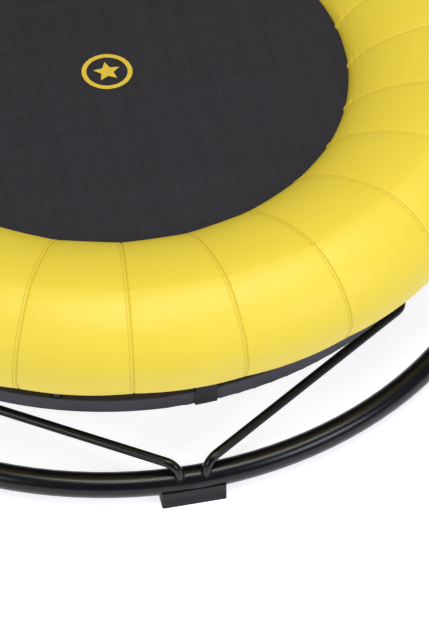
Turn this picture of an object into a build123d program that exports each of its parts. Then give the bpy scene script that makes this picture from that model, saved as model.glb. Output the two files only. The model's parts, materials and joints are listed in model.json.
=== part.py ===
from build123d import *
import os
from math import asin, cos, degrees, pi, radians, sin

# Padded spinning carousel: a stretched mat inside a fat padded ring, carried on a spider that
# turns about a fixed spindle. The spindle stands on bent bars welded to a tube ring on the floor.
# Millimetres, +Z up, origin on the floor under the spindle. Angles are measured from the front
# (-Y) towards +X. The fixed frame has one pair of bars over each foot, and a foot at the front.

os.makedirs("parts", exist_ok=True)

# ---- base ring and feet
ring_radius = 790.0          # centreline of the floor ring's tube
ring_tube = 48.3             # outside diameter of the tube
ring_wall = 2.6
foot_count = 4
foot_length = 121.0
foot_sole = 15.4             # rubber under the tube
foot_half_floor = 29.5       # half width where the foot meets the floor
foot_half_top = 25.5         # half width at the lips that hold the tube
foot_facet = 19.0            # height of the lower, sloping facet
foot_height = 34.8
foot_screw_dia = 6.0
foot_screw_head = 13.0
foot_screw_head_height = 3.6
foot_screw_recess = 7.6
foot_screw_half_span = 34.0
foot_screw_reach = 10.0      # length of screw above the underside of the tube

# ---- bent bars
strut_dia = 18.0
strut_foot_half = 24.6       # half the distance between the two bars of a pair at the ring
strut_foot_offset = 8.0      # the bar's upright leg stands outside the tube's centreline
strut_rise = 24.7            # corner of the bar's lower bend above the top of the ring
strut_foot_bend = 28.0
strut_crest_angle = 44.0     # from the foot to the bar's crest
strut_crest_inset = 0.9      # crest inside the hoop's outer face
strut_crest_bend = 30.0
strut_clearance = 24.3       # from the top of the bars to the underside of the turning hoop
strut_hub_half = 14.0        # half the distance between neighbouring bars at the hub

# ---- fixed hub and spindle
plate_radius = 100.0
plate_thickness = 8.0
plate_z = 24.0               # underside of the hub plate
boss_radius = 45.0
boss_height = 24.0
spindle_dia = 30.0
spindle_head_radius = 22.0
spindle_head = 6.0
spindle_collar_radius = 19.0
spindle_collar = 8.0
thread_dia = 24.0
thread_gap = 0.05            # radial play of every simplified thread
washer_radius = 22.0
washer_thickness = 3.0
nut_across_flats = 36.0
nut_height = 12.0
thread_proud = 3.0

# ---- bearings, a deep-groove pair
bearing_outer_dia = 55.0
bearing_width = 13.0
bearing_spacing = 20.0       # between the two bearings
ball_dia = 7.1
ball_count = 11
ball_play = 0.05
race_land = 2.05             # from the ball circle to the races' lands
cage_half = 1.05             # half the cage's radial thickness
cage_height = 9.0
pocket_play = 0.07
inner_spacer_wall = 3.0
outer_spacer_wall = 3.0

# ---- turning hub
hub_radius = 42.0
hub_lip = 4.0                # lip under the lower bearing
hub_lip_radius = 24.0
hub_gap = 4.0                # over the fixed boss
hub_top_wall = 6.0           # above the upper bearing
clip_thickness = 1.75
clip_depth = 2.0             # depth of its groove in the hub
clip_width = 4.4
clip_slot = 10.0
clip_play = 0.1
edge_break = 1.5
cap_flange = 5.0
cap_height = 19.0
cap_wall = 4.5
cap_recess_radius = 26.0
cap_screw_dia = 5.0
cap_screw_count = 3
cap_screw_circle = 35.5
cap_screw_reach = 12.0
cap_screw_head = 8.0
cap_screw_head_height = 2.8

# ---- spider, hoop and mat ring
hoop_radius = 701.0          # outer face of the hoop
hoop_bottom = 138.0
hoop_height = 32.0
hoop_width = 25.0
hoop_corner = 3.0
hoop_wall = 2.0
arm_count = 8
arm_height = 26.0
arm_width = 20.0
arm_wall = 2.0
arm_corner = 3.0
arm_drop = 63.0              # how far the arms dish down from the hoop to the hub
post_dia = 20.0
post_wall = 2.0
mat_ring_inset = 61.0        # mat ring's centreline inside the hoop's outer face
mat_ring_tube = 33.7
mat_ring_wall = 2.3
mat_ring_drop = 10.0         # mat ring's centreline below the top of the mat

# ---- mat and its springs
mat_top = 330.0
mat_thickness = 2.0
mat_edge_inset = 118.0       # mat's edge inside the mat ring's centreline
border_width = 25.0
border_thickness = 2.0
spring_count = 32
spring_coil_dia = 13.0
spring_hook_radius = 5.5
spring_wire = 3.0
ring_wire = 4.0
ring_reach = 5.0             # mat's edge to the inner bar of its wire rings
ring_depth = 20.0
ring_half_inner = 15.0
ring_half_outer = 5.0
eye_standoff = 33.0          # eye's bar inside the mat ring's centreline
eye_half = 8.0
wire_bend = 3.0
tab_thickness = 1.4
tab_play = 0.1
tab_width = 20.0
tab_length = 24.0
emblem_outer = 49.2
emblem_inner = 40.0
emblem_thickness = 0.4
star_points = 5
star_outer = 27.0
star_inner = 12.5

# ---- padded ring
pad_inner_radius = 466.8
pad_crown_radius = 681.4
pad_crown_rise = 117.0       # crown above the top of the mat
pad_outer_radius = 801.2
pad_outer_rise = 9.0         # widest place above the top of the mat
pad_skirt_overhang = 40.6    # skirt's lower edge outside the hoop
pad_skirt_rise = 89.3        # skirt's lower edge above the top of the hoop
pad_skirt_inset = 11.0       # cavity's lower edge inside the hoop's outer face
pad_cavity_inset = 33.0      # cavity's upper edge inside the hoop's outer face
pad_ring_clearance = 2.65    # from the mat ring up to the cavity
pad_lip_run = 33.2           # from the inner lip to the cavity
pad_clearance = 0.3          # to the mat and inside the cover
pad_flank_power = 1.288      # how full the inner flank is, 1 being an ellipse
pad_shoulder_power = 1.133
pad_cover_thickness = 1.2
foam_block_count = 16        # glued blocks of foam that make the ring
foam_block_joint = 0.2       # gap between blocks

# ---- straps round the hoop
strap_count = 8
strap_width = 41.0
strap_thickness = 2.6
strap_clearance = 0.3
strap_phase = 3.72           # from the front foot to the nearest strap, at rest

# ---- worked out from the sizes above
ring_z = foot_sole + ring_tube / 2
ring_top = ring_z + ring_tube / 2
strut_crest_z = hoop_bottom - strut_clearance - strut_dia / 2
strut_crest_radius = hoop_radius - strut_crest_inset
plate_top = plate_z + plate_thickness
boss_top = plate_top + boss_height
strut_hub_z = plate_top + strut_dia / 2 + 0.2
hub_bottom = boss_top + hub_gap
bearing_z = hub_bottom + hub_lip
upper_bearing_z = bearing_z + bearing_width + bearing_spacing
bearing_top = upper_bearing_z + bearing_width
hub_top = bearing_top + hub_top_wall
bearing_outer = bearing_outer_dia / 2
spindle_radius = spindle_dia / 2
ball_circle = (spindle_radius + bearing_outer) / 2
ball_radius = ball_dia / 2
nut_z = bearing_top + washer_thickness
thread_top = nut_z + nut_height + thread_proud
hoop_inner = hoop_radius - hoop_width
hoop_mid = hoop_radius - hoop_width / 2
hoop_top = hoop_bottom + hoop_height
hoop_mid_z = hoop_bottom + hoop_height / 2
arm_phase = strap_phase + 180 / strap_count
mat_ring_radius = hoop_radius - mat_ring_inset
mat_ring_z = mat_top - mat_ring_drop
mat_radius = mat_ring_radius - mat_edge_inset
spring_phase = strap_phase + 180 / spring_count
ring_inner_bar = mat_radius + ring_reach
ring_outer_bar = ring_inner_bar + ring_depth
eye_bar = mat_ring_radius - eye_standoff
pad_skirt_radius = hoop_radius + pad_skirt_overhang
pad_skirt_z = hoop_top + pad_skirt_rise
pad_outer_z = mat_top + pad_outer_rise
pad_cavity_z = mat_ring_z + mat_ring_tube / 2 + pad_ring_clearance
pad_crown_z = mat_top + pad_crown_rise
foot_angles = [360 / foot_count * n for n in range(foot_count)]
foot_names = ["front", "right", "back", "left"]


def at(radius, angle, height):
    """A point given by its distance from the spindle, its angle from the front and its height."""
    return (radius * sin(radians(angle)), -radius * cos(radians(angle)), height)


def radial_plane(angle):
    """The upright plane through the spindle at an angle: local x outwards, local y up."""
    a = radians(angle)
    return Plane(origin=(0, 0, 0), x_dir=(sin(a), -cos(a), 0), z_dir=(-cos(a), -sin(a), 0))


def save(builder, name):
    """Labels one finished piece and writes it."""
    builder.part.label = name
    export_step(builder.part, f"parts/{name}.step")


def turned(outline):
    """A piece turned about the spindle's axis from its half section, a list of (radius, height)."""
    with BuildPart() as piece:
        with BuildSketch(Plane.XZ):
            with BuildLine():
                Polyline(*outline, close=True)
            make_face()
        revolve(axis=Axis.Z)
    return piece


def tube_ring(radius, height, diameter, wall):
    """A tube bent into a full circle about the spindle's axis."""
    with BuildPart() as ring:
        with BuildSketch(Plane.XZ):
            with Locations((radius, height)):
                Circle(diameter / 2)
                Circle(diameter / 2 - wall, mode=Mode.SUBTRACT)
        revolve(axis=Axis.Z)
    return ring


# ---------------------------------------------------------------- base ring
def foot_screw_points():
    """Where the screws go up through the feet into the ring."""
    swing = degrees(asin(foot_screw_half_span / ring_radius))
    return [at(ring_radius, a + s * swing, 0) for a in foot_angles for s in (-1, 1)]


base_ring = tube_ring(ring_radius, ring_z, ring_tube, ring_wall)
with base_ring:
    with Locations(*foot_screw_points()):
        Cylinder(
            foot_screw_dia / 2 + thread_gap,
            ring_z,
            align=(Align.CENTER, Align.CENTER, Align.MIN),
            mode=Mode.SUBTRACT,
        )
save(base_ring, "base_ring")


# ---------------------------------------------------------------- rubber feet
def foot(angle):
    """A straight rubber block cradling the ring, its long side along the ring."""
    swing = radians(angle)
    centre = at(ring_radius, angle, 0)
    across = Plane(
        origin=centre,
        x_dir=(sin(swing), -cos(swing), 0),
        z_dir=(-cos(swing), -sin(swing), 0),
    )
    half = [
        (foot_half_floor, 0),
        (foot_half_top, foot_facet),
        (foot_half_top, foot_height),
    ]
    outline = half + [(-x, y) for x, y in reversed(half)]
    with BuildPart() as block:
        with BuildSketch(across):
            with BuildLine():
                Polyline(*outline, close=True)
            make_face()
        extrude(amount=foot_length / 2, both=True)
        upright = block.edges().filter_by(lambda e: abs((e % 0.5).Z) > 0.9)
        fillet(upright, radius=4.0)
        with Locations((0, 0, ring_z)):
            Torus(ring_radius, ring_tube / 2, mode=Mode.SUBTRACT)
        swing_deg = degrees(asin(foot_screw_half_span / ring_radius))
        spots = [at(ring_radius, angle + s * swing_deg, 0) for s in (-1, 1)]
        with Locations(*spots):
            Cylinder(
                foot_screw_dia / 2 + thread_gap,
                foot_height,
                align=(Align.CENTER, Align.CENTER, Align.MIN),
                mode=Mode.SUBTRACT,
            )
            Cylinder(
                foot_screw_head / 2 + 0.5,
                foot_screw_recess,
                align=(Align.CENTER, Align.CENTER, Align.MIN),
                mode=Mode.SUBTRACT,
            )
    return block


for foot_name, foot_angle in zip(foot_names, foot_angles):
    save(foot(foot_angle), f"foot_{foot_name}")

with BuildPart() as foot_screws:
    with Locations(*[(x, y, foot_screw_recess) for x, y, _ in foot_screw_points()]):
        Cylinder(
            foot_screw_dia / 2,
            foot_sole - foot_screw_recess + foot_screw_reach,
            align=(Align.CENTER, Align.CENTER, Align.MIN),
        )
        Cylinder(
            foot_screw_head / 2,
            foot_screw_head_height,
            align=(Align.CENTER, Align.CENTER, Align.MAX),
        )
save(foot_screws, "foot_screws")


# ---------------------------------------------------------------- bent bars
def strut(angle, side):
    """A round bar: up from the ring, along and up to its crest under the hoop, then in to the hub."""
    foot_swing = degrees(asin(strut_foot_half / ring_radius))
    start = angle + side * foot_swing
    crest = angle + side * strut_crest_angle
    pair = angle + side * 180 / foot_count
    x, y, z = at(boss_radius * 0.8, pair, strut_hub_z)
    shift = -side * strut_hub_half
    hub_end = (x + shift * cos(radians(pair)), y + shift * sin(radians(pair)), z)
    with BuildPart() as bar:
        with BuildLine() as route:
            FilletPolyline(
                at(ring_radius + strut_foot_offset, start, ring_z),
                at(ring_radius + strut_foot_offset, start, ring_top + strut_rise),
                at(strut_crest_radius, crest, strut_crest_z),
                hub_end,
                radius=[strut_foot_bend, strut_crest_bend],
            )
        with BuildSketch(Plane(origin=route.line @ 0, z_dir=route.line % 0)):
            Circle(strut_dia / 2)
        sweep()
        with Locations((0, 0, ring_z)):
            Torus(ring_radius, ring_tube / 2, mode=Mode.SUBTRACT)
        Cylinder(boss_radius, boss_top * 3, mode=Mode.SUBTRACT)
    return bar


strut_number = 0
for strut_angle in foot_angles:
    for strut_side in (-1, 1):
        strut_number += 1
        save(strut(strut_angle, strut_side), f"strut_{strut_number}")

# ---------------------------------------------------------------- fixed hub and spindle
save(
    turned([
        (spindle_radius, plate_z),
        (plate_radius - edge_break, plate_z),
        (plate_radius, plate_z + edge_break),
        (plate_radius, plate_top - edge_break),
        (plate_radius - edge_break, plate_top),
        (boss_radius, plate_top),
        (boss_radius, boss_top - edge_break),
        (boss_radius - edge_break, boss_top),
        (spindle_radius, boss_top),
    ]),
    "hub_base",
)
save(
    turned([
        (0, plate_z - spindle_head),
        (spindle_head_radius - edge_break, plate_z - spindle_head),
        (spindle_head_radius, plate_z - spindle_head + edge_break),
        (spindle_head_radius, plate_z),
        (spindle_radius, plate_z),
        (spindle_radius, boss_top),
        (spindle_collar_radius, boss_top),
        (spindle_collar_radius, bearing_z),
        (spindle_radius, bearing_z),
        (spindle_radius, bearing_top - 0.5),
        (thread_dia / 2, bearing_top - 0.5),
        (thread_dia / 2, thread_top - edge_break),
        (thread_dia / 2 - edge_break, thread_top),
        (0, thread_top),
    ]),
    "spindle",
)
save(
    turned([
        (thread_dia / 2 + 0.25, bearing_top),
        (washer_radius, bearing_top),
        (washer_radius, nut_z),
        (thread_dia / 2 + 0.25, nut_z),
    ]),
    "spindle_washer",
)
with BuildPart() as spindle_nut:
    with BuildSketch(Plane.XY.offset(nut_z)):
        RegularPolygon(nut_across_flats / 2, 6, major_radius=False)
        Circle(thread_dia / 2 + thread_gap, mode=Mode.SUBTRACT)
    extrude(amount=nut_height)
save(spindle_nut, "spindle_nut")
save(
    turned([
        (spindle_radius, bearing_z + bearing_width),
        (spindle_radius + inner_spacer_wall, bearing_z + bearing_width),
        (spindle_radius + inner_spacer_wall, upper_bearing_z),
        (spindle_radius, upper_bearing_z),
    ]),
    "inner_spacer",
)


# ---------------------------------------------------------------- bearings
def race(inside, outside, bottom):
    """One bearing ring with its ball groove."""
    with BuildPart() as ring:
        with BuildSketch(Plane.XZ):
            with Locations(((inside + outside) / 2, bottom + bearing_width / 2)):
                Rectangle(outside - inside, bearing_width)
            with Locations((ball_circle, bottom + bearing_width / 2)):
                Circle(ball_radius + ball_play, mode=Mode.SUBTRACT)
        revolve(axis=Axis.Z)
    return ring


def ball_cage(bottom):
    """The cage ring with its pockets, and a ball in each."""
    middle = bottom + bearing_width / 2
    with BuildPart() as cage:
        with BuildSketch(Plane.XZ):
            with Locations((ball_circle, middle)):
                Rectangle(2 * cage_half, cage_height)
        revolve(axis=Axis.Z)
        with Locations((0, 0, middle)):
            with PolarLocations(ball_circle, ball_count):
                Cylinder(
                    ball_radius + pocket_play,
                    4 * cage_half,
                    rotation=(0, 90, 0),
                    mode=Mode.SUBTRACT,
                )
                Sphere(ball_radius)
    return cage


for level, bottom in (("lower", bearing_z), ("upper", upper_bearing_z)):
    save(race(spindle_radius, ball_circle - race_land, bottom), f"{level}_inner_race")
    save(race(ball_circle + race_land, bearing_outer, bottom), f"{level}_outer_race")
    save(ball_cage(bottom), f"{level}_ball_cage")

# ---------------------------------------------------------------- turning hub
clip_groove_top = bearing_top + clip_thickness + 2 * clip_play
hub_housing = turned([
    (hub_lip_radius, hub_bottom),
    (hub_radius - edge_break, hub_bottom),
    (hub_radius, hub_bottom + edge_break),
    (hub_radius, hub_top),
    (bearing_outer, hub_top),
    (bearing_outer, clip_groove_top),
    (bearing_outer + clip_depth, clip_groove_top),
    (bearing_outer + clip_depth, bearing_top),
    (bearing_outer, bearing_top),
    (bearing_outer, bearing_z),
    (hub_lip_radius, bearing_z),
])
with hub_housing:
    with Locations((0, 0, hub_top)):
        with PolarLocations(cap_screw_circle, cap_screw_count):
            Cylinder(
                cap_screw_dia / 2 + thread_gap,
                cap_screw_reach + 2,
                align=(Align.CENTER, Align.CENTER, Align.MAX),
                mode=Mode.SUBTRACT,
            )
save(hub_housing, "hub_housing")
save(
    turned([
        (bearing_outer - outer_spacer_wall, bearing_z + bearing_width),
        (bearing_outer, bearing_z + bearing_width),
        (bearing_outer, upper_bearing_z),
        (bearing_outer - outer_spacer_wall, upper_bearing_z),
    ]),
    "outer_spacer",
)
clip_outer = bearing_outer + clip_depth - clip_play
with BuildPart() as retaining_clip:
    with BuildSketch(Plane.XY.offset(bearing_top + clip_play)):
        Circle(clip_outer)
        Circle(clip_outer - clip_width, mode=Mode.SUBTRACT)
        with Locations((clip_outer - clip_width / 2, 0)):
            Rectangle(clip_width * 2, clip_slot, mode=Mode.SUBTRACT)
    extrude(amount=clip_thickness)
save(retaining_clip, "retaining_clip")

cap_top = hub_top + cap_height
cap_shoulder = hub_top + cap_flange
cap_dome = cap_recess_radius + cap_wall
hub_cap = turned([
    (cap_recess_radius, hub_top),
    (hub_radius, hub_top),
    (hub_radius, cap_shoulder - edge_break),
    (hub_radius - edge_break, cap_shoulder),
    (cap_dome, cap_shoulder),
    (cap_dome - edge_break, cap_top - 2 * edge_break),
    (cap_dome - 3 * edge_break, cap_top),
    (0, cap_top),
    (0, cap_top - cap_wall),
    (cap_recess_radius - edge_break, cap_top - cap_wall),
    (cap_recess_radius, cap_top - cap_wall - edge_break),
])
with hub_cap:
    with Locations((0, 0, hub_top)):
        with PolarLocations(cap_screw_circle, cap_screw_count):
            Cylinder(
                cap_screw_dia / 2 + 0.25,
                cap_flange,
                align=(Align.CENTER, Align.CENTER, Align.MIN),
                mode=Mode.SUBTRACT,
            )
save(hub_cap, "hub_cap")

with BuildPart() as cap_screws:
    with BuildSketch(Plane.XY.offset(cap_shoulder)):
        with PolarLocations(cap_screw_circle, cap_screw_count):
            Circle(cap_screw_head / 2)
    extrude(amount=cap_screw_head_height)
    with BuildSketch(Plane.XY.offset(cap_shoulder)):
        with PolarLocations(cap_screw_circle, cap_screw_count):
            Circle(cap_screw_dia / 2)
    extrude(amount=-(cap_flange + cap_screw_reach))
save(cap_screws, "cap_screws")

# ---------------------------------------------------------------- hoop, arms, posts, mat ring
with BuildPart() as hoop:
    with BuildSketch(Plane.XZ):
        with Locations((hoop_mid, hoop_mid_z)):
            RectangleRounded(hoop_width, hoop_height, hoop_corner)
            RectangleRounded(
                hoop_width - 2 * hoop_wall,
                hoop_height - 2 * hoop_wall,
                hoop_corner - hoop_wall,
                mode=Mode.SUBTRACT,
            )
    revolve(axis=Axis.Z)
save(hoop, "hoop")


def arm(angle):
    """A box tube from the hub out and up to the inner face of the hoop."""
    rise = arm_drop / (hoop_inner - hub_radius)
    inner_z = hoop_mid_z - arm_drop
    first = Vector(*at(hub_radius - 15, angle, inner_z - 15 * rise))
    last = Vector(*at(hoop_inner + 15, angle, hoop_mid_z + 15 * rise))
    across = (cos(radians(angle)), sin(radians(angle)), 0)
    with BuildPart() as tube:
        with BuildSketch(Plane(origin=first, x_dir=across, z_dir=last - first)):
            RectangleRounded(arm_width, arm_height, arm_corner)
            RectangleRounded(
                arm_width - 2 * arm_wall,
                arm_height - 2 * arm_wall,
                arm_corner - arm_wall,
                mode=Mode.SUBTRACT,
            )
        extrude(amount=(last - first).length)
        Cylinder(hoop_inner, mat_top * 2, mode=Mode.INTERSECT)
        Cylinder(hub_radius, mat_top * 2, mode=Mode.SUBTRACT)
    return tube


for arm_number in range(arm_count):
    save(arm(arm_phase + 360 / arm_count * arm_number), f"arm_{arm_number + 1}")

mat_ring = tube_ring(mat_ring_radius, mat_ring_z, mat_ring_tube, mat_ring_wall)
save(mat_ring, "mat_ring")

post_foot = Vector(*at(hoop_mid, 0, hoop_top))
post_head = Vector(*at(mat_ring_radius, 0, mat_ring_z))
post_axis = (post_head - post_foot).normalized()
with BuildPart() as post:
    with BuildSketch(Plane(origin=post_foot - post_axis * post_dia, z_dir=post_axis)):
        Circle(post_dia / 2)
        Circle(post_dia / 2 - post_wall, mode=Mode.SUBTRACT)
    extrude(amount=(post_head - post_foot).length + post_dia)
    split(bisect_by=Plane.XY.offset(hoop_top), keep=Keep.TOP)
    with Locations((0, 0, mat_ring_z)):
        Torus(mat_ring_radius, mat_ring_tube / 2, mode=Mode.SUBTRACT)
with BuildPart() as posts:
    with PolarLocations(0, arm_count, start_angle=arm_phase):
        add(post.part)
save(posts, "posts")

# ---------------------------------------------------------------- mat, border, emblem
with BuildPart() as mat:
    with BuildSketch(Plane.XY.offset(mat_top - mat_thickness)):
        Circle(mat_radius)
    extrude(amount=mat_thickness)
save(mat, "mat")

with BuildPart() as mat_border:
    with BuildSketch(Plane.XY.offset(mat_top)):
        Circle(mat_radius)
        Circle(mat_radius - border_width, mode=Mode.SUBTRACT)
    extrude(amount=border_thickness)
save(mat_border, "mat_border")

star = [
    at(star_outer if n % 2 == 0 else star_inner, 180 + 180 / star_points * n, 0)[:2]
    for n in range(2 * star_points)
]
with BuildPart() as emblem:
    with BuildSketch(Plane.XY.offset(mat_top)):
        Circle(emblem_outer)
        Circle(emblem_inner, mode=Mode.SUBTRACT)
        Polygon(*star, align=None)
    extrude(amount=emblem_thickness)
save(emblem, "emblem")

# ---------------------------------------------------------------- springs, rings, tabs and eyes
line_z = mat_top - mat_thickness / 2 + border_thickness / 2
hook_outer = spring_hook_radius + spring_wire / 2
hook_seat = 1.0              # how far the hooks sink into the coil's end


def round_the_mat(piece, name):
    """Repeats a piece made at the front, once for each spring."""
    with BuildPart() as group:
        with PolarLocations(0, spring_count, start_angle=spring_phase):
            add(piece.part)
    save(group, name)


coil_start = ring_outer_bar + hook_outer - hook_seat
coil_end = eye_bar - hook_outer + hook_seat
with BuildPart() as spring:
    with BuildSketch(Plane.XZ.offset(coil_start)):
        with Locations((0, line_z)):
            Circle(spring_coil_dia / 2)
    extrude(amount=coil_end - coil_start)
    hooks = [
        Location((0, -ring_outer_bar, line_z), (0, 90, 0)),
        Location((0, -eye_bar, line_z), (0, 90, 0)),
    ]
    with Locations(*hooks):
        Torus(spring_hook_radius, spring_wire / 2)
round_the_mat(spring, "springs")

with BuildPart() as wire_ring:
    with BuildLine() as wire_ring_path:
        FilletPolyline(
            (-ring_half_inner, -ring_inner_bar, line_z),
            (-ring_half_outer, -ring_outer_bar, line_z),
            (ring_half_outer, -ring_outer_bar, line_z),
            (ring_half_inner, -ring_inner_bar, line_z),
            radius=wire_bend,
            close=True,
        )
    start = wire_ring_path.line @ 0
    with BuildSketch(Plane(origin=start, z_dir=wire_ring_path.line % 0)):
        Circle(ring_wire / 2)
    sweep()
round_the_mat(wire_ring, "wire_rings")

with BuildPart() as tab:
    with BuildSketch(radial_plane(0)):
        with Locations((ring_inner_bar, line_z)):
            Circle(ring_wire / 2 + tab_play + tab_thickness)
        with Locations((ring_inner_bar - tab_length / 2, line_z)):
            Rectangle(tab_length, ring_wire + 2 * (tab_play + tab_thickness))
        with Locations((ring_inner_bar, line_z)):
            Circle(ring_wire / 2 + tab_play, mode=Mode.SUBTRACT)
        with Locations((ring_inner_bar - tab_length / 2, line_z)):
            Rectangle(tab_length, ring_wire + 2 * tab_play, mode=Mode.SUBTRACT)
    extrude(amount=tab_width / 2, both=True)
round_the_mat(tab, "ring_tabs")

with BuildPart() as eye:
    with BuildLine() as eye_path:
        FilletPolyline(
            (-eye_half, -mat_ring_radius, line_z),
            (-eye_half, -eye_bar, line_z),
            (eye_half, -eye_bar, line_z),
            (eye_half, -mat_ring_radius, line_z),
            radius=wire_bend,
        )
    with BuildSketch(Plane(origin=eye_path.line @ 0, z_dir=eye_path.line % 0)):
        Circle(ring_wire / 2)
    sweep()
    with Locations((0, 0, mat_ring_z)):
        Torus(mat_ring_radius, mat_ring_tube / 2, mode=Mode.SUBTRACT)
round_the_mat(eye, "spring_eyes")


# ---------------------------------------------------------------- padded ring
def pad_section(inset):
    """The ring's section in the plane y = 0, drawn in from its outer surface by an inset."""
    inner = pad_inner_radius + 3 * inset
    lip_z = mat_top + pad_clearance + 1.5 * inset
    crown_z = pad_crown_z - inset
    outer = pad_outer_radius - inset
    skirt = pad_skirt_radius - inset
    skirt_z = pad_skirt_z + inset
    steps = [n / 6 * pi / 2 for n in range(7)]
    flank = [
        (
            pad_crown_radius - (pad_crown_radius - inner) * cos(a) ** pad_flank_power,
            lip_z + (crown_z - lip_z) * sin(a) ** pad_flank_power,
        )
        for a in steps
    ]
    shoulder = [
        (
            pad_crown_radius + (outer - pad_crown_radius) * sin(a) ** pad_shoulder_power,
            pad_outer_z + (crown_z - pad_outer_z) * cos(a) ** pad_shoulder_power,
        )
        for a in steps
    ]
    with BuildSketch(Plane.XZ) as section:
        with BuildLine():
            Spline(*flank, tangents=((0.3, 1), (1, 0)))
            Spline(*shoulder, tangents=((1, 0), (0, -1)))
            Spline((outer, pad_outer_z), (skirt, skirt_z), tangents=((0, -1), (-1, 0)))
            Polyline(
                (skirt, skirt_z),
                (hoop_radius - pad_skirt_inset + inset, skirt_z),
                (hoop_radius - pad_cavity_inset + inset, pad_cavity_z + inset),
                (pad_inner_radius + pad_lip_run, pad_cavity_z + inset),
                (inner, lip_z),
            )
        make_face()
    return section


with BuildPart() as pad_cover:
    add(pad_section(0).sketch)
    revolve(axis=Axis.Z)
    with BuildSketch(Plane.XZ):
        add(Plane.XZ.to_local_coords(pad_section(pad_cover_thickness).sketch))
    revolve(axis=Axis.Z, mode=Mode.SUBTRACT)
save(pad_cover, "pad_cover")

foam_block_angle = 360 / foam_block_count - degrees(foam_block_joint / pad_crown_radius)
with BuildPart() as foam_block:
    with BuildSketch(Plane.XZ):
        add(Plane.XZ.to_local_coords(pad_section(pad_cover_thickness + pad_clearance).sketch))
    revolve(axis=Axis.Z, revolution_arc=foam_block_angle)
with BuildPart() as pad_foam:
    with PolarLocations(0, foam_block_count):
        add(foam_block.part)
save(pad_foam, "pad_foam")


# ---------------------------------------------------------------- straps
def strap(angle):
    """Webbing looped round the hoop, with a tail up to the underside of the padded ring."""
    sweep_angle = degrees(strap_width / hoop_radius)
    reach = strap_clearance + strap_thickness
    with BuildPart() as band:
        with BuildSketch(radial_plane(angle - sweep_angle / 2)):
            with Locations((hoop_mid, hoop_mid_z)):
                RectangleRounded(
                    hoop_width + 2 * reach, hoop_height + 2 * reach, hoop_corner + reach
                )
            tail = pad_skirt_z - strap_clearance - hoop_mid_z
            with Locations((hoop_radius + strap_clearance, hoop_mid_z)):
                Rectangle(strap_thickness, tail, align=(Align.MIN, Align.MIN))
            with Locations((hoop_mid, hoop_mid_z)):
                RectangleRounded(
                    hoop_width + 2 * strap_clearance,
                    hoop_height + 2 * strap_clearance,
                    hoop_corner + strap_clearance,
                    mode=Mode.SUBTRACT,
                )
        revolve(axis=Axis.Z, revolution_arc=sweep_angle)
    return band


for strap_number in range(strap_count):
    save(
        strap(strap_phase + 360 / strap_count * strap_number),
        f"strap_{strap_number + 1}",
    )
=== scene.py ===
import json
import math
from math import cos, pi, radians, sin

import bpy
import numpy as np
from mathutils import Matrix, Vector


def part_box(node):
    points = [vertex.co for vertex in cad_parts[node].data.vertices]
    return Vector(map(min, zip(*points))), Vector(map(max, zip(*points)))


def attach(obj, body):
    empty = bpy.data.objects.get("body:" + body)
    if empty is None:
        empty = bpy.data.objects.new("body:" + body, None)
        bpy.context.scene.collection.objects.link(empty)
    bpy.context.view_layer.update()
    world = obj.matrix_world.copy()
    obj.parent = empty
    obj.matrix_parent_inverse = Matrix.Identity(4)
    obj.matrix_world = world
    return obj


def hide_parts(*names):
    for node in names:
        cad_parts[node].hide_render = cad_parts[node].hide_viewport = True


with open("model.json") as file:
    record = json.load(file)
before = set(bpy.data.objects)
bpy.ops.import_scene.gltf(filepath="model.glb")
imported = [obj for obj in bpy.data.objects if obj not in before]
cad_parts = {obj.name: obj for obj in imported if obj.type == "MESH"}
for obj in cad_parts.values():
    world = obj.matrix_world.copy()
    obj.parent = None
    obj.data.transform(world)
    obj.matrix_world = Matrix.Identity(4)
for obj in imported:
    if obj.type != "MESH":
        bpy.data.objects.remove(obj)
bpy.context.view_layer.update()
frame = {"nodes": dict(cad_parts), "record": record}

# Padded spinning carousel: the looks of every piece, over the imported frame. Metres, +Z up.
# Angles are measured from the front (-Y) towards +X, in degrees.

nodes = frame["nodes"]
MM = 0.001

# ---- sizes the frame gives
hoop_lo, hoop_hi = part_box("hoop")
pad_lo, pad_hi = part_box("pad_cover")
mat_lo, mat_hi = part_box("mat")
ring_lo, ring_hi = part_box("base_ring")
hoop_radius = hoop_hi.x
hoop_width = 25 * MM
hoop_inner = hoop_radius - hoop_width
mat_radius = mat_hi.x
mat_top = mat_hi.z
ring_tube = (ring_hi.z - ring_lo.z) / 2
ring_radius = ring_hi.x - ring_tube
ring_z = (ring_hi.z + ring_lo.z) / 2
hub_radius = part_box("hub_housing")[1].x
boss_radius = 45 * MM

# ---- sizes of the made pieces
panel_count = 24
first_seam = -8.69
# how far each hand-sewn seam wanders from its even place, in degrees, at the lip and at the skirt
lip_wander = [0.7, 0.3, 0.0, 1.4, 0.7, -0.9, -1.1, -2.0]
lip_wander += [-0.6, 0.4, -0.3, 0.6] * 3 + [0.2, -0.5, 0.4, 2.0]
skirt_wander = [1.2, 0.9, 0.9, 1.2, 1.1, 0.2, -0.1, -1.2]
skirt_wander += [-0.4, 0.5, -0.6, 0.3] * 3 + [0.4, -0.3, 0.5, 1.1]
pad_inner = 466.8 * MM
pad_crown = 681.4 * MM
pad_waist_z = 339.0 * MM
pad_skirt = hoop_radius + 40.6 * MM
cavity_low = hoop_radius - 11.0 * MM
cavity_high = hoop_radius - 33.0 * MM
cavity_z = 339.5 * MM
lip_run = 33.2 * MM
pad_clearance = 0.3 * MM
seam_depth = 1.7 * MM
panel_puff = 2.6 * MM
stitch_offset = -5.8 * MM
stitch_pitch = 6.0 * MM
stitch_length = 4.2 * MM
thread_radius = 0.42 * MM
spring_count = 32
strap_count = 8
arm_count = 8
strap_phase = 3.72
spring_phase = strap_phase + 180 / spring_count
arm_phase = strap_phase + 180 / strap_count
foot_angles = (0, 90, 180, 270)
bar_radius = 9 * MM
bar_half_gap = 24.6 * MM
bar_foot_offset = 8 * MM
bar_hub_half_gap = 14 * MM
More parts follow.
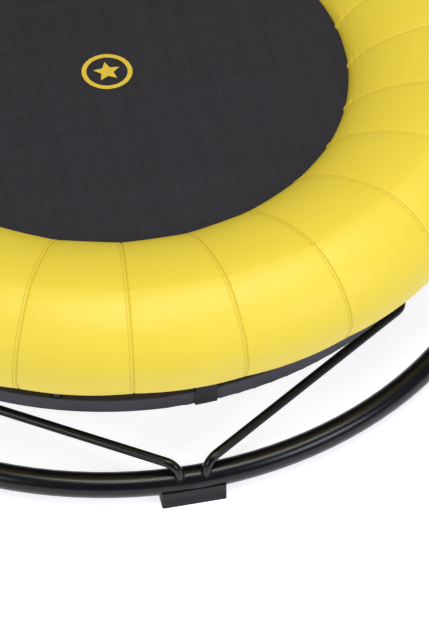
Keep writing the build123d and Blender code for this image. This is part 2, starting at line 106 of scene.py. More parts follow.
bar_hub_z = 41.2 * MM
arm_width, arm_height = 20.6 * MM, 26.6 * MM
arm_hub_z, arm_hoop_z = 91 * MM, 154 * MM
arm_slope = 63.0 / 634.0
post_inset = 12.5 * MM


# ================================================================ meshes
def polar(radius, angle, height):
    """A point from its distance to the spindle, its angle from the front and its height."""
    return Vector((radius * sin(radians(angle)), -radius * cos(radians(angle)), height))


def make_object(name, verts, faces, material, smooth=True):
    mesh = bpy.data.meshes.new(name)
    mesh.from_pydata([tuple(v) for v in verts], [], [tuple(int(i) for i in f) for f in faces])
    mesh.validate()
    mesh.materials.append(material)
    if smooth:
        mesh.polygons.foreach_set("use_smooth", [True] * len(mesh.polygons))
    obj = bpy.data.objects.new(name, mesh)
    bpy.context.scene.collection.objects.link(obj)
    return obj


def grid_faces(rows, columns, close_rows=False, close_columns=False):
    """Quads of a grid of points stored row by row."""
    faces = []
    for i in range(rows if close_rows else rows - 1):
        for j in range(columns if close_columns else columns - 1):
            a = i * columns + j
            b = i * columns + (j + 1) % columns
            c = ((i + 1) % rows) * columns + (j + 1) % columns
            d = ((i + 1) % rows) * columns + j
            faces.append((a, b, c, d))
    return faces


def rod(points, radius, sides=8, closed=False):
    """Vertices and faces of a round rod along a list of points."""
    pts = np.array([tuple(p) for p in points], float)
    count = len(pts)
    if closed:
        tangents = np.roll(pts, -1, 0) - np.roll(pts, 1, 0)
    else:
        tangents = np.gradient(pts, axis=0)
    tangents /= np.linalg.norm(tangents, axis=1)[:, None]
    normal = np.cross(tangents[0], (0.123, 0.456, 0.881))
    normal /= np.linalg.norm(normal)
    rings = []
    radii = radius if hasattr(radius, "__len__") else [radius] * count
    for n in range(count):
        normal = normal - tangents[n] * normal.dot(tangents[n])
        normal /= np.linalg.norm(normal)
        side = np.cross(tangents[n], normal)
        for k in range(sides):
            a = 2 * pi * k / sides
            rings.append(pts[n] + radii[n] * (cos(a) * normal + sin(a) * side))
    faces = grid_faces(count, sides, close_rows=closed, close_columns=True)
    if not closed:
        faces.append(tuple(reversed(range(sides))))
        faces.append(tuple(range((count - 1) * sides, count * sides)))
    return rings, faces


class Pile:
    """Collects many small shapes into one piece."""

    def __init__(self):
        self.verts = []
        self.faces = []

    def put(self, verts, faces):
        start = len(self.verts)
        self.verts.extend(tuple(v) for v in verts)
        self.faces.extend(tuple(i + start for i in f) for f in faces)

    def make(self, name, material, body):
        obj = make_object(name, self.verts, self.faces, material)
        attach(obj, body)
        return obj


def turn(verts, angle):
    """Points turned about the spindle."""
    c, s = cos(radians(angle)), sin(radians(angle))
    return [(x * c - y * s, x * s + y * c, z) for x, y, z in verts]


# ================================================================ materials
def socket_group(name, inputs, outputs):
    group = bpy.data.node_groups.new(name, "ShaderNodeTree")
    for label, kind, value in inputs:
        socket = group.interface.new_socket(label, in_out="INPUT", socket_type=kind)
        if value is not None:
            socket.default_value = value
    for label, kind in outputs:
        group.interface.new_socket(label, in_out="OUTPUT", socket_type=kind)
    return group, group.nodes.new("NodeGroupInput"), group.nodes.new("NodeGroupOutput")


def math_node(tree, operation, a, b=None):
    node = tree.nodes.new("ShaderNodeMath")
    node.operation = operation
    for index, value in enumerate((a, b)):
        if value is None:
            continue
        if hasattr(value, "is_output"):
            tree.links.new(value, node.inputs[index])
        else:
            node.inputs[index].default_value = value
    return node.outputs[0]


def noise(tree, vector, scale, detail=3.0, rough=0.5):
    node = tree.nodes.new("ShaderNodeTexNoise")
    node.inputs["Detail"].default_value = detail
    node.inputs["Roughness"].default_value = rough
    tree.links.new(vector, node.inputs["Vector"])
    if hasattr(scale, "is_output"):
        tree.links.new(scale, node.inputs["Scale"])
    else:
        node.inputs["Scale"].default_value = scale
    return node.outputs["Fac"]


def mottle_group():
    """Slow and fine variation of a colour and a roughness, as handling and dust leave."""
    group, gin, out = socket_group(
        "surface mottle",
        [
            ("Vector", "NodeSocketVector", None),
            ("Colour A", "NodeSocketColor", (0.5, 0.5, 0.5, 1)),
            ("Colour B", "NodeSocketColor", (0.4, 0.4, 0.4, 1)),
            ("Scale", "NodeSocketFloat", 8.0),
            ("Roughness", "NodeSocketFloat", 0.4),
            ("Spread", "NodeSocketFloat", 0.1),
        ],
        [("Colour", "NodeSocketColor"), ("Roughness", "NodeSocketFloat")],
    )
    slow = noise(group, gin.outputs["Vector"], gin.outputs["Scale"], 4.0, 0.6)
    fine_scale = math_node(group, "MULTIPLY", gin.outputs["Scale"], 17.0)
    fine = noise(group, gin.outputs["Vector"], fine_scale)
    slow_part = math_node(group, "MULTIPLY", slow, 0.7)
    both = math_node(group, "ADD", slow_part, math_node(group, "MULTIPLY", fine, 0.3))
    mix = group.nodes.new("ShaderNodeMix")
    mix.data_type = "RGBA"
    group.links.new(both, mix.inputs["Factor"])
    group.links.new(gin.outputs["Colour A"], mix.inputs["A"])
    group.links.new(gin.outputs["Colour B"], mix.inputs["B"])
    group.links.new(mix.outputs["Result"], out.inputs["Colour"])
    centred = math_node(group, "SUBTRACT", both, 0.5)
    swing = math_node(group, "MULTIPLY", centred, gin.outputs["Spread"])
    rough = math_node(group, "ADD", gin.outputs["Roughness"], swing)
    group.links.new(rough, out.inputs["Roughness"])
    return group


def weave_group():
    """A plain weave across two directions: raised threads, and a mask of the gaps between them that
    the materials darken as painted shade.
    """
    group, gin, out = socket_group(
        "plain weave",
        [
            ("U", "NodeSocketFloat", 0.0),
            ("V", "NodeSocketFloat", 0.0),
            ("Threads U", "NodeSocketFloat", 500.0),
            ("Threads V", "NodeSocketFloat", 500.0),
        ],
        [("Height", "NodeSocketFloat"), ("Gap", "NodeSocketFloat")],
    )
    turns_u = math_node(group, "MULTIPLY", gin.outputs["Threads U"], pi)
    turns_v = math_node(group, "MULTIPLY", gin.outputs["Threads V"], pi)
    u = math_node(group, "MULTIPLY", gin.outputs["U"], turns_u)
    v = math_node(group, "MULTIPLY", gin.outputs["V"], turns_v)
    su = math_node(group, "ABSOLUTE", math_node(group, "SINE", u))
    sv = math_node(group, "ABSOLUTE", math_node(group, "SINE", v))
    over = math_node(group, "MULTIPLY", math_node(group, "SINE", u), math_node(group, "SINE", v))
    body = math_node(group, "MULTIPLY", su, sv)
    raised = math_node(group, "MULTIPLY", body, 0.7)
    height = math_node(group, "ADD", raised, math_node(group, "MULTIPLY", over, 0.3))
    group.links.new(height, out.inputs["Height"])
    group.links.new(math_node(group, "SUBTRACT", 1.0, body), out.inputs["Gap"])
    return group


def pebble_group():
    """Fine leather-like grain or the orange peel of a sprayed finish, by scale."""
    group, gin, out = socket_group(
        "pebble grain",
        [("Vector", "NodeSocketVector", None), ("Scale", "NodeSocketFloat", 900.0)],
        [("Height", "NodeSocketFloat")],
    )
    cells = group.nodes.new("ShaderNodeTexVoronoi")
    cells.feature = "SMOOTH_F1"
    group.links.new(gin.outputs["Vector"], cells.inputs["Vector"])
    group.links.new(gin.outputs["Scale"], cells.inputs["Scale"])
    soft_scale = math_node(group, "MULTIPLY", gin.outputs["Scale"], 0.4)
    soft = noise(group, gin.outputs["Vector"], soft_scale)
    sharp = math_node(group, "MULTIPLY", cells.outputs["Distance"], 0.6)
    mixed = math_node(group, "ADD", sharp, soft)
    group.links.new(mixed, out.inputs["Height"])
    return group


MOTTLE = mottle_group()
WEAVE = weave_group()
PEBBLE = pebble_group()


def place(tree, group, **values):
    node = tree.nodes.new("ShaderNodeGroup")
    node.node_tree = group
    for label, value in values.items():
        key = label.replace("_", " ")
        if hasattr(value, "is_output"):
            tree.links.new(value, node.inputs[key])
        else:
            node.inputs[key].default_value = value
    return node


def surface(
    name, colour_a, colour_b, rough, spread=0.1, scale=8.0, metallic=0.0, coat=0.0, coat_rough=0.1
):
    """A principled material whose colour and roughness vary a little over the surface."""
    material = bpy.data.materials.new(name)
    material.use_nodes = True
    tree = material.node_tree
    shader = tree.nodes["Principled BSDF"]
    shader.inputs["Metallic"].default_value = metallic
    shader.inputs["Coat Weight"].default_value = coat
    shader.inputs["Coat Roughness"].default_value = coat_rough
    where = tree.nodes.new("ShaderNodeTexCoord").outputs["Object"]
    spots = place(
        tree,
        MOTTLE,
        Vector=where,
        Colour_A=(*colour_a, 1),
        Colour_B=(*colour_b, 1),
        Scale=scale,
        Roughness=rough,
        Spread=spread,
    )
    tree.links.new(spots.outputs["Colour"], shader.inputs["Base Color"])
    tree.links.new(spots.outputs["Roughness"], shader.inputs["Roughness"])
    return material, tree, shader, where, spots


def bump(tree, shader, height, strength, distance):
    node = tree.nodes.new("ShaderNodeBump")
    node.inputs["Strength"].default_value = strength
    node.inputs["Distance"].default_value = distance
    tree.links.new(height, node.inputs["Height"])
    tree.links.new(node.outputs["Normal"], shader.inputs["Normal"])


def paint_shade(tree, shader, spots, shade_mask, colour):
    """Paints shade: mixes a darker colour into the base colour by a mask."""
    mix = tree.nodes.new("ShaderNodeMix")
    mix.data_type = "RGBA"
    mix.inputs["B"].default_value = (*colour, 1)
    tree.links.new(shade_mask, mix.inputs["Factor"])
    tree.links.new(spots.outputs["Colour"], mix.inputs["A"])
    tree.links.new(mix.outputs["Result"], shader.inputs["Base Color"])


def vinyl():
    material, tree, shader, where, spots = surface(
        "yellow vinyl",
        (0.79, 0.625, 0.054),
        (0.75, 0.575, 0.044),
        rough=0.50,
        spread=0.08,
        scale=5.0,
        coat=0.05,
        coat_rough=0.35,
    )
    shader.inputs["Specular IOR Level"].default_value = 0.38
    grain = place(tree, PEBBLE, Vector=where, Scale=850.0)
    bump(tree, shader, grain.outputs["Height"], 0.16, 0.0004)
    # painted shade: the seam attribute mixes a darker yellow into each seam's groove and, faintly,
    # its stitch line
    seam_shade_node = tree.nodes.new("ShaderNodeAttribute")
    seam_shade_node.attribute_name = "seam"
    shade = math_node(tree, "MULTIPLY", seam_shade_node.outputs["Fac"], 0.6)
    paint_shade(tree, shader, spots, shade, (0.40, 0.24, 0.008))
    return material


def powder_coat():
    material, tree, shader, where, spots = surface(
        "black powder coat", (0.0024, 0.0024, 0.0040), (0.0036, 0.0036, 0.0060), 0.24, 0.08, 6.0
    )
    shader.inputs["Specular IOR Level"].default_value = 0.36
    peel = place(tree, PEBBLE, Vector=where, Scale=420.0)
    bump(tree, shader, peel.outputs["Height"], 0.10, 0.0004)
    return material


def hoop_coat():
    material, tree, shader, where, spots = surface(
        "dark grey hoop coat", (0.038, 0.036, 0.052), (0.033, 0.031, 0.045), 0.50, 0.12, 5.0
    )
    peel = place(tree, PEBBLE, Vector=where, Scale=500.0)
    bump(tree, shader, peel.outputs["Height"], 0.12, 0.0004)
    return material


def rubber():
    material, tree, shader, where, spots = surface(
        "black foot rubber", (0.007, 0.007, 0.010), (0.010, 0.010, 0.014), 0.55, 0.12, 30.0
    )
    shader.inputs["Specular IOR Level"].default_value = 0.28
    grain = place(tree, PEBBLE, Vector=where, Scale=700.0)
    bump(tree, shader, grain.outputs["Height"], 0.25, 0.0004)
    return material


def metal(name, colour_a, colour_b, rough, scale):
    material, tree, shader, where, spots = surface(
        name, colour_a, colour_b, rough, 0.2, scale, metallic=1.0
    )
    scratch = noise(tree, where, 900.0, 2.0)
    bump(tree, shader, scratch, 0.08, 0.0002)
    return material


def mesh_fabric():
    material, tree, shader, where, spots = surface(
        "black mat weave", (0.036, 0.033, 0.041), (0.044, 0.041, 0.049), 0.70, 0.12, 3.0
    )
    shader.inputs["Specular IOR Level"].default_value = 0.25
    split = tree.nodes.new("ShaderNodeSeparateXYZ")
    tree.links.new(where, split.inputs["Vector"])
    weave = place(
        tree, WEAVE, U=split.outputs["X"], V=split.outputs["Y"], Threads_U=300.0, Threads_V=330.0
    )
    bump(tree, shader, weave.outputs["Height"], 0.5, 0.0008)
    stretch = tree.nodes.new("ShaderNodeMapping")
    stretch.inputs["Scale"].default_value = (70.0, 1.2, 1.0)
    tree.links.new(where, stretch.inputs["Vector"])
    along = noise(tree, stretch.outputs["Vector"], 1.0, 2.0)
    cross = tree.nodes.new("ShaderNodeMapping")
    cross.inputs["Scale"].default_value = (1.2, 70.0, 1.0)
    tree.links.new(where, cross.inputs["Vector"])
    across = noise(tree, cross.outputs["Vector"], 1.0, 2.0)
    # painted shade darkens the gaps between threads; faint streaks of thread tone in both
    # directions vary how much
    streaks = math_node(tree, "MULTIPLY", math_node(tree, "ADD", along, across), 0.42)
    threads = math_node(tree, "ADD", streaks, 0.53)
    shade_mask = math_node(tree, "MULTIPLY", weave.outputs["Gap"], threads)
    paint_shade(tree, shader, spots, shade_mask, (0.006, 0.006, 0.008))
    return material


def webbing():
    """Woven strap and tape, its ribs measured round the spindle and up, so each strap runs true."""
    material, tree, shader, where, spots = surface(
        "black webbing", (0.020, 0.020, 0.024), (0.030, 0.030, 0.034), 0.66, 0.15, 40.0
    )
    shader.inputs["Specular IOR Level"].default_value = 0.3
    split = tree.nodes.new("ShaderNodeSeparateXYZ")
    tree.links.new(where, split.inputs["Vector"])
    turned = math_node(tree, "ARCTAN2", split.outputs["Y"], split.outputs["X"])
    arc = math_node(tree, "MULTIPLY", turned, hoop_radius)
    weave = place(tree, WEAVE, U=arc, V=split.outputs["Z"], Threads_U=520.0, Threads_V=700.0)
    bump(tree, shader, weave.outputs["Height"], 0.5, 0.0005)
    # painted shade in the gaps between the ribs
    gap_shade = math_node(tree, "MULTIPLY", weave.outputs["Gap"], 0.6)
    paint_shade(tree, shader, spots, gap_shade, (0.010, 0.010, 0.012))
    return material


def print_ink():
    material, tree, shader, where, spots = surface(
        "yellow mat print", (0.84, 0.60, 0.045), (0.72, 0.50, 0.035), 0.55, 0.2, 60.0
    )
    split = tree.nodes.new("ShaderNodeSeparateXYZ")
    tree.links.new(where, split.inputs["Vector"])
    weave = place(
        tree, WEAVE, U=split.outputs["X"], V=split.outputs["Y"], Threads_U=420.0, Threads_V=420.0
    )
    bump(tree, shader, weave.outputs["Height"], 0.35, 0.0005)
    # painted shade in the gaps between the threads under the print
    gap_shade = math_node(tree, "MULTIPLY", weave.outputs["Gap"], 0.25)
    paint_shade(tree, shader, spots, gap_shade, (0.10, 0.07, 0.02))
    return material


def thread(name, colour_a, colour_b):
    material, tree, shader, where, spots = surface(name, colour_a, colour_b, 0.6, 0.2, 90.0)
    twist = noise(tree, where, 2500.0, 1.0)
    bump(tree, shader, twist, 0.4, 0.0002)
    return material


VINYL = vinyl()
PAINT = powder_coat()
HOOP_COAT = hoop_coat()
RUBBER = rubber()
ZINC = metal("zinc plate", (0.60, 0.60, 0.61), (0.50, 0.51, 0.53), 0.34, 45.0)
STEEL = metal("ground steel", (0.56, 0.56, 0.57), (0.48, 0.48, 0.49), 0.24, 120.0)
MAT = mesh_fabric()
WEBBING = webbing()
PRINT = print_ink()
PAD_THREAD = thread("yellow thread", (0.62, 0.44, 0.02), (0.50, 0.35, 0.015))
BLACK_THREAD = thread("black thread", (0.05, 0.05, 0.055), (0.08, 0.08, 0.085))


def finish_node(name, material):
    for index in range(max(1, len(nodes[name].material_slots))):
        if nodes[name].material_slots:
            nodes[name].material_slots[index].material = material
        else:
            nodes[name].data.materials.append(material)


slot_material = {
    "frame_paint": PAINT,
    "hoop_paint": HOOP_COAT,
    "foot_rubber": RUBBER,
    "zinc_steel": ZINC,
    "bearing_steel": STEEL,
    "mat_fabric": MAT,
    "webbing": WEBBING,
    "emblem_print": PRINT,
    "pad_vinyl": VINYL,
    "pad_foam": VINYL,
}
for part in frame["record"]["subparts"]:
    finish_node(part["node"], slot_material[part["material_slot"]])


# ================================================================ padded ring
def pad_outline():
    """The pad's section as (radius, height) points: flank, crown, shoulder, skirt and cavity."""
    lip_z = mat_top + pad_clearance
    crown_z = pad_hi.z
    outer = pad_hi.x
    skirt_z = pad_lo.z
    points = []
    for n in range(46):
        a = pi / 2 * (n / 45) ** 1.15
        points.append((
            pad_crown - (pad_crown - pad_inner) * cos(a) ** 1.288,
            lip_z + (crown_z - lip_z) * sin(a) ** 1.288,
        ))
    for n in range(1, 40):
        a = pi / 2 * (n / 39) ** 0.92
        points.append((
            pad_crown + (outer - pad_crown) * sin(a) ** 1.133,
            pad_waist_z + (crown_z - pad_waist_z) * cos(a) ** 1.133,
        ))
    for n in range(1, 26):
        a = pi / 2 * n / 25
        points.append((
            pad_skirt + (outer - pad_skirt) * cos(a) ** 0.96,
            pad_waist_z - (pad_waist_z - skirt_z) * sin(a),
        ))
    face = len(points)
    corners = [
        (pad_skirt, skirt_z),
        (cavity_low, skirt_z + 0.5 * MM),
        (cavity_high, cavity_z),
        (pad_inner + lip_run, cavity_z),
        (pad_inner, lip_z),
    ]
    for (r0, z0), (r1, z1) in zip(corners, corners[1:]):
        steps = 10
        for n in range(1, steps + 1):
            points.append((r0 + (r1 - r0) * n / steps, z0 + (z1 - z0) * n / steps))
    return points[:-1], face


outline, face_rows = pad_outline()
section = np.array(outline)
run = np.roll(section, -1, 0) - np.roll(section, 1, 0)
run[0] = section[1] - section[0]
run /= np.linalg.norm(run, axis=1)[:, None]
outward = np.stack([-run[:, 1], run[:, 0]], 1)
steps_along = np.linalg.norm(np.diff(section[:face_rows], axis=0), axis=1)
face_length = float(steps_along.sum())
along_face = np.concatenate([[0], np.cumsum(steps_along)])

near_seam = [0.0, 0.6, 1.2, 1.9, 2.6, 3.4, 4.4, 5.6, 6.8, 8.0, 9.6, 12.0, 15.0, 19.0]
middle = [0.20, 0.26, 0.32, 0.38, 0.44, 0.50, 0.56, 0.62, 0.68, 0.74, 0.80]


def seam_angle(number, t):
    """Where a seam lies, from the lip at t = 0 to the skirt at t = 1."""
    turns, index = divmod(number, panel_count)
    wander = lip_wander[index] * (1 - t) + skirt_wander[index] * t
    return first_seam + 360 * turns + 360 / panel_count * index + wander


def panel_stations(width):
    """Distances from a seam, round the ring to the next one."""
    first = [s * MM for s in near_seam]
    return first + [m * width for m in middle] + [width - s * MM for s in reversed(near_seam[1:])]


columns = len(panel_stations(0.2)) * panel_count


def ripple(a, t, seed):
    """A slow unevenness of the stuffing, the same every time."""
    value = sin(3 * a + 1.7 * seed)
    value += 0.7 * sin(7 * a + 9 * t + seed)
    value += 0.6 * sin(13 * a - 14 * t + 2.3 * seed)
    return value / 2.3


def seam_profile(gap, t, panel):
    """How far the cover lies under its fullest, at a signed distance from a seam, and the painted
    shade there.
    """
    groove = seam_depth * math.exp(-((gap / (1.5 * MM)) ** 2))
    fold = -0.55 * MM * math.exp(-(((gap + 2.6 * MM) / (1.4 * MM)) ** 2))
    dimple = 0.22 * MM * math.exp(-(((gap - stitch_offset) / (1.3 * MM)) ** 2))
    pucker = 0.55 * MM * math.exp(-((abs(gap) / (15 * MM)) ** 1.6))
    pucker *= sin(2 * pi * t * face_length / (19 * MM) + 1.3 * panel + 1.5 * sin(5 * t + panel))
    # painted shade: strong in the seam's groove, faint in the stitch dimples
    seam_shade = 0.5 * math.exp(-((gap / (1.3 * MM)) ** 2))
    seam_shade += 0.04 * math.exp(-(((gap - stitch_offset) / (1.6 * MM)) ** 2))
    return groove + fold + dimple + pucker, seam_shade


def row_share(row):
    return along_face[row] / face_length if row < face_rows else 1.0


def pad_point(row, angle_deg, gap, fraction, panel):
    """One point of the cover's surface and the painted seam shade there."""
    r, z = section[row]
    t = row_share(row)
    sink, seam_shade = seam_profile(gap, t, panel)
    if row < face_rows:
        ends = min(1.0, t / 0.05) if t < 0.5 else 1.0
        puff = panel_puff * (abs(2 * fraction - 1) ** 2.6) * min(1.0, 0.3 + t / 0.1)
        puff -= 3.2 * MM * math.exp(-((gap / (6.5 * MM)) ** 2)) * max(0.0, 1 - t / 0.05)
        uneven = 0.9 * MM * (0.5 + 0.5 * ripple(radians(angle_deg), t, 1.0))
        sink = sink * (0.35 + 0.65 * ends) + puff + uneven
    elif row < face_rows + 10:
        sink = sink * 0.6
    else:
        sink = 0.0
        seam_shade = 0.0
    n = outward[row]
    r -= n[0] * sink
    z -= n[1] * sink
    return polar(r, angle_deg, z), seam_shade


def build_pad():
    rows = len(section)
    verts, seam_shades = [], []
    for row in range(rows):
        radius = section[row][0]
        for panel in range(panel_count):
            start = seam_angle(panel, row_share(row))
            width = radians(seam_angle(panel + 1, row_share(row)) - start) * radius
            for s in panel_stations(width):
                gap = s if s < width / 2 else s - width
                which = panel if s < width / 2 else panel + 1
                angle = start + math.degrees(s / radius)
                point, seam_shade = pad_point(row, angle, gap, s / width, which % panel_count)
                verts.append(point)
                seam_shades.append(seam_shade)
    faces = grid_faces(rows, columns, close_rows=True, close_columns=True)
    obj = make_object("padded_ring", verts, faces, VINYL)
    # the seam attribute carries the painted shade of the seam grooves and stitch lines
    layer = obj.data.attributes.new("seam", "FLOAT", "POINT")
    layer.data.foreach_set("value", seam_shades)
    return obj


padded_ring = build_pad()
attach(padded_ring, "rotor")
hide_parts("pad_cover", "pad_foam")


def stitch(pile, start, end, up, radius):
    """One stitch: a short thread that rises out of the cloth and goes back in."""
    a, b = Vector(start), Vector(end)
    lift = Vector(up).normalized() * radius
    points = []
    for share, height in ((0.0, -0.6), (0.12, 0.5), (0.5, 0.9), (0.88, 0.5), (1.0, -0.6)):
        points.append(a.lerp(b, share) + lift * height)
    pile.put(*rod(points, radius, sides=6))


def pad_stitches():
    pile = Pile()
    count = int(face_length * 0.97 / stitch_pitch)
    for panel in range(panel_count):
        points = []
        for n in range(2 * count + 1):
            d = 0.012 + n * stitch_pitch / 2
            if d > face_length - 0.004:
                break
            row = int(np.searchsorted(along_face, d)) - 1
            row = max(0, min(face_rows - 2, row))
            share = (d - along_face[row]) / steps_along[row]
            ends = []
            for r in (row, row + 1):
                radius = section[r][0]
                seam = seam_angle(panel, row_share(r))
                width = radians(seam - seam_angle(panel - 1, row_share(r))) * radius
                angle = seam + math.degrees(stitch_offset / radius)
                fraction = (width + stitch_offset) / width
                ends.append(pad_point(r, angle, stitch_offset, fraction, panel)[0])
            n2 = outward[row] * (1 - share) + outward[row + 1] * share
            up = polar(n2[0], seam, n2[1])
            points.append((ends[0].lerp(ends[1], share), up))
        for (a, up), (b, _) in zip(points[0::2], points[1::2]):
            b2 = a + (b - a).normalized() * stitch_length
            stitch(pile, a, b2, up, thread_radius)
    return pile.make("pad_stitching", PAD_THREAD, "rotor")


pad_stitches()


def hem_cord():
    """The rolled hem round the skirt's inner edge."""
    points = []
    for n in range(480):
        a = 360 * n / 480
        swell = 0.4 * MM * sin(radians(a) * panel_count)
        points.append(polar(cavity_low + 1.0 * MM + swell, a, pad_lo.z + 3.6 * MM))
    pile = Pile()
    pile.put(*rod(points, 3.2 * MM, sides=10, closed=True))
    return pile.make("pad_hem", VINYL, "rotor")


hem_cord()


# ================================================================ mat
def build_mat():
    rings = 40
    around = 192
    thick = mat_hi.z - mat_lo.z
    verts = [(0, 0, mat_top)]
    faces = []
    for i in range(1, rings + 1):
        r = mat_radius * i / rings
        for j in range(around):
            verts.append(tuple(polar(r, 360 * j / around, mat_top)))
    for j in range(around):
        faces.append((0, 1 + j, 1 + (j + 1) % around))
    for i in range(rings - 1):
        for j in range(around):
            a, b = 1 + i * around + j, 1 + i * around + (j + 1) % around
            faces.append((a, a + around, b + around, b))
    obj = make_object("mat_sheet", verts, faces, MAT)
    solid = obj.modifiers.new("cloth", "SOLIDIFY")
    solid.thickness = thick
    solid.offset = -1.0
    return obj


mat_sheet = build_mat()
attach(mat_sheet, "rotor")
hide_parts("mat")


def stitched_circle(pile, radius, height, count, up=1.0):
    for n in range(count):
        a = 360 * n / count
        b = a + 360 / count * 0.68
        stitch(pile, polar(radius, a, height), polar(radius, b, height), (0, 0, up), thread_radius)


border_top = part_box("mat_border")[1].z
border_pile = Pile()
for row_radius in (mat_radius - 20 * MM, mat_radius - 12 * MM, mat_radius - 4 * MM):
    stitched_circle(border_pile, row_radius, border_top, 460)
    stitched_circle(border_pile, row_radius, mat_lo.z, 460, -1.0)
border_stitching = border_pile.make("border_stitching", BLACK_THREAD, "rotor")


# ================================================================ springs
def coil_spring():
    """One tension spring at the front: a close coil with a hook at each end."""
    coil_radius, wire = 5.4 * MM, 1.05 * MM
    mid_z = (border_top + mat_lo.z) / 2
    ring_bar = mat_radius + 25 * MM
    eye_bar = hoop_radius - 94 * MM
    hook = 5.5 * MM
    start, end = ring_bar + hook + 1.5 * MM, eye_bar - hook - 1.5 * MM
    points = []
    for n in range(15):
        a = radians(-150 + 300 * n / 14)
        points.append((0, -(ring_bar - hook * cos(a)), mid_z + hook * sin(a)))
    turns = 17
    for n in range(turns * 12 + 1):
        a = 2 * pi * n / 12
        d = start + (end - start) * n / (turns * 12)
        points.append((coil_radius * sin(a), -d, mid_z + coil_radius * cos(a)))
    for n in range(15):
        a = radians(150 - 300 * n / 14)
        points.append((0, -(eye_bar + hook * cos(a)), mid_z + hook * sin(a)))
    return rod(points, wire, sides=6)


spring_pile = Pile()
one_spring, spring_faces = coil_spring()
for number in range(spring_count):
    spring_pile.put(turn(one_spring, spring_phase + 360 / spring_count * number), spring_faces)
coil_springs = spring_pile.make("coil_springs", ZINC, "rotor")
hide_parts("springs")


# ================================================================ welds
def bead(pile, points, size):
    """A ripple-faced weld bead round a closed line of points."""
    dense = []
    pts = [Vector(p) for p in points]
    total = sum((pts[(n + 1) % len(pts)] - pts[n]).length for n in range(len(pts)))
    ripples = max(12, int(total / (2.4 * MM)))
    count = ripples * 3
    lengths = [0.0]
    for n in range(len(pts)):
        lengths.append(lengths[-1] + (pts[(n + 1) % len(pts)] - pts[n]).length)
    for k in range(count):
        d = total * k / count
        n = int(np.searchsorted(lengths, d, side="right")) - 1
        n = min(n, len(pts) - 1)
        share = (d - lengths[n]) / max(1e-9, lengths[n + 1] - lengths[n])
        dense.append(pts[n].lerp(pts[(n + 1) % len(pts)], share))
    radii = [size * (1.0 + 0.14 * cos(2 * pi * ripples * k / count)) for k in range(count)]
    pile.put(*rod(dense, radii, sides=8, closed=True))


base_welds = Pile()
half_pair = math.degrees(math.asin(bar_half_gap / ring_radius))
for foot_angle in foot_angles:
    for side in (-1, 1):
        centre = polar(ring_radius + bar_foot_offset, foot_angle + side * half_pair, 0)
        loop = []
        for n in range(32):
            a = 2 * pi * n / 32
            x = centre.x + (bar_radius + 0.3 * MM) * cos(a)
            y = centre.y + (bar_radius + 0.3 * MM) * sin(a)
            off = math.hypot(x, y) - ring_radius
            loop.append((x, y, ring_z + math.sqrt(ring_tube**2 - off**2) + 0.2 * MM))
        bead(base_welds, loop, 1.3 * MM)
        pair = foot_angle + side * 45
        out = polar(1, pair, 0)
        across = Vector((cos(radians(pair)), sin(radians(pair)), 0))
        loop = []
        for n in range(24):
            a = 2 * pi * n / 24
            lateral = -side * bar_hub_half_gap + (bar_radius + 0.4 * MM) * cos(a)
            reach = math.sqrt(boss_radius**2 - lateral**2) + 0.5 * MM
            height = bar_hub_z + bar_radius * sin(a) + 0.4 * MM
            loop.append(out * reach + across * lateral + Vector((0, 0, height)))
        bead(base_welds, loop, 1.7 * MM)
base_welds.make("base_welds", PAINT, "base")


def box_loop(width, height, steps=8):
    """A rounded rectangle as (across, up) pairs."""
    corner = 3.2 * MM
    pairs = []
    for sx, sy, start in ((1, 1, 0), (-1, 1, 90), (-1, -1, 180), (1, -1, 270)):
        for n in range(steps):
            a = radians(start + 90 * n / (steps - 1))
            u = sx * (width / 2 - corner) + corner * cos(a)
            v = sy * (height / 2 - corner) + corner * sin(a)
            pairs.append((u, v))
    return pairs


rotor_welds = Pile()
for number in range(arm_count):
    angle = arm_phase + 360 / arm_count * number
    out = polar(1, angle, 0)
    across = Vector((cos(radians(angle)), sin(radians(angle)), 0))
    for radius, height, sign in ((hub_radius, arm_hub_z, 1), (hoop_inner, arm_hoop_z, -1)):
        loop = []
        for u, v in box_loop(arm_width, arm_height):
            reach = math.sqrt(radius**2 - u**2) + sign * 0.5 * MM
            rise = arm_slope * (reach - radius)
            loop.append(out * reach + across * u + Vector((0, 0, height + v + rise)))
        bead(rotor_welds, loop, 1.8 * MM)
    low = polar(hoop_radius - post_inset, angle, hoop_hi.z + 0.6 * MM)
    loop = []
    for n in range(28):
        a = 2 * pi * n / 28
        loop.append(low + out * (10.9 * MM * cos(a)) + across * (10.3 * MM * sin(a)))
    bead(rotor_welds, loop, 1.6 * MM)
rotor_welds.make("rotor_welds", PAINT, "rotor")


# ================================================================ strap stitching
def strap_stitches():
    """A stitched box with a cross on each strap's tail, where it is sewn to its loop."""
    pile = Pile()
    face = hoop_radius + 2.9 * MM
    low, high = hoop_lo.z + 5 * MM, hoop_hi.z - 4 * MM
    half = 15 * MM / face
    corners = [(-half, low), (half, low), (half, high), (-half, high)]
    lines = list(zip(corners, corners[1:] + corners[:1]))
    lines += [(corners[0], corners[2]), (corners[1], corners[3])]
    for number in range(strap_count):
        middle_angle = strap_phase + 360 / strap_count * number
        up = polar(1, middle_angle, 0)
        for (a0, z0), (a1, z1) in lines:
            length = math.hypot((a1 - a0) * face, z1 - z0)
            count = max(3, int(length / (3.4 * MM)))
            for n in range(count):
                ends = []
                for s in (n / count, (n + 0.7) / count):
                    angle = middle_angle + math.degrees(a0 + (a1 - a0) * s)
                    ends.append(polar(face, angle, z0 + (z1 - z0) * s))
                stitch(pile, *ends, up, 0.35 * MM)
    return pile.make("strap_stitching", BLACK_THREAD, "rotor")


strap_stitches()


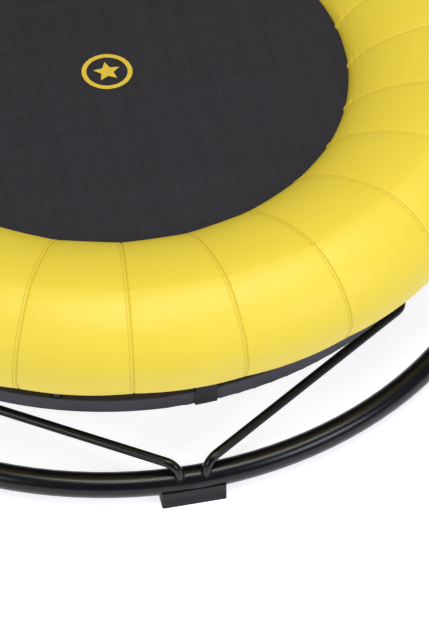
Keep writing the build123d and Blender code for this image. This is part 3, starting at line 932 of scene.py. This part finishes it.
# ================================================================ floor, light and camera
def build_floor():
    size = 14.0
    material, tree, shader, where, spots = surface(
        "studio floor", (0.62, 0.62, 0.63), (0.60, 0.60, 0.615), 0.85, 0.1, 0.7
    )
    shader.inputs["Emission Color"].default_value = (0.95, 0.95, 1.0, 1)
    shader.inputs["Emission Strength"].default_value = 0.80
    shader.inputs["Specular IOR Level"].default_value = 0.1
    count = 12
    verts = []
    for i in range(count + 1):
        for j in range(count + 1):
            verts.append((size * (j / count - 0.5), size * (i / count - 0.5), 0.0))
    obj = make_object("floor", verts, grid_faces(count + 1, count + 1), material)


build_floor()


def area_light(name, place_at, target, size, power, colour):
    data = bpy.data.lights.new(name, "AREA")
    data.shape = "RECTANGLE"
    data.size, data.size_y = size
    data.energy = power
    data.color = colour
    lamp = bpy.data.objects.new(name, data)
    lamp.location = place_at
    lamp.rotation_mode = "QUATERNION"
    lamp.rotation_quaternion = (Vector(target) - Vector(place_at)).to_track_quat("-Z", "Y")
    bpy.context.scene.collection.objects.link(lamp)


area_light("overhead", (0.5, -0.9, 3.8), (0, 0, 0.2), (3.0, 2.0), 122.0, (1.0, 0.99, 0.98))
area_light("left_side", (-3.0, -2.6, 2.0), (0, 0, 0.2), (1.6, 1.2), 35.0, (0.97, 0.98, 1.0))
area_light("right_side", (2.6, -3.2, 2.4), (0, 0, 0.2), (1.6, 1.2), 46.0, (0.82, 0.89, 1.0))

world = bpy.data.worlds.new("studio")
bpy.context.scene.world = world
world.use_nodes = True
world.node_tree.nodes["Background"].inputs["Color"].default_value = (0.93, 0.95, 1.0, 1)
world.node_tree.nodes["Background"].inputs["Strength"].default_value = 0.17
bpy.context.scene.view_settings.view_transform = "Standard"

# camera: turned from the back towards +X, looking down, and leaning a little, in radians
heading, pitch, roll = 0.233653, 0.837113, 0.021548
forward = Vector((sin(heading) * cos(pitch), cos(heading) * cos(pitch), -sin(pitch)))
level = Vector((cos(heading), -sin(heading), 0))
above = level.cross(forward)
right = level * cos(roll) + above * sin(roll)
top = above * cos(roll) - level * sin(roll)
camera_data = bpy.data.cameras.new("camera")
camera_data.sensor_width = 36.0
camera_data.lens = 153.1
camera = bpy.data.objects.new("camera", camera_data)
turned = Matrix((right, top, -forward)).transposed().to_4x4()
turned.translation = Vector((-0.6902, -3.8429, 3.9385))
camera.matrix_world = turned
bpy.context.scene.collection.objects.link(camera)
bpy.context.scene.camera = camera
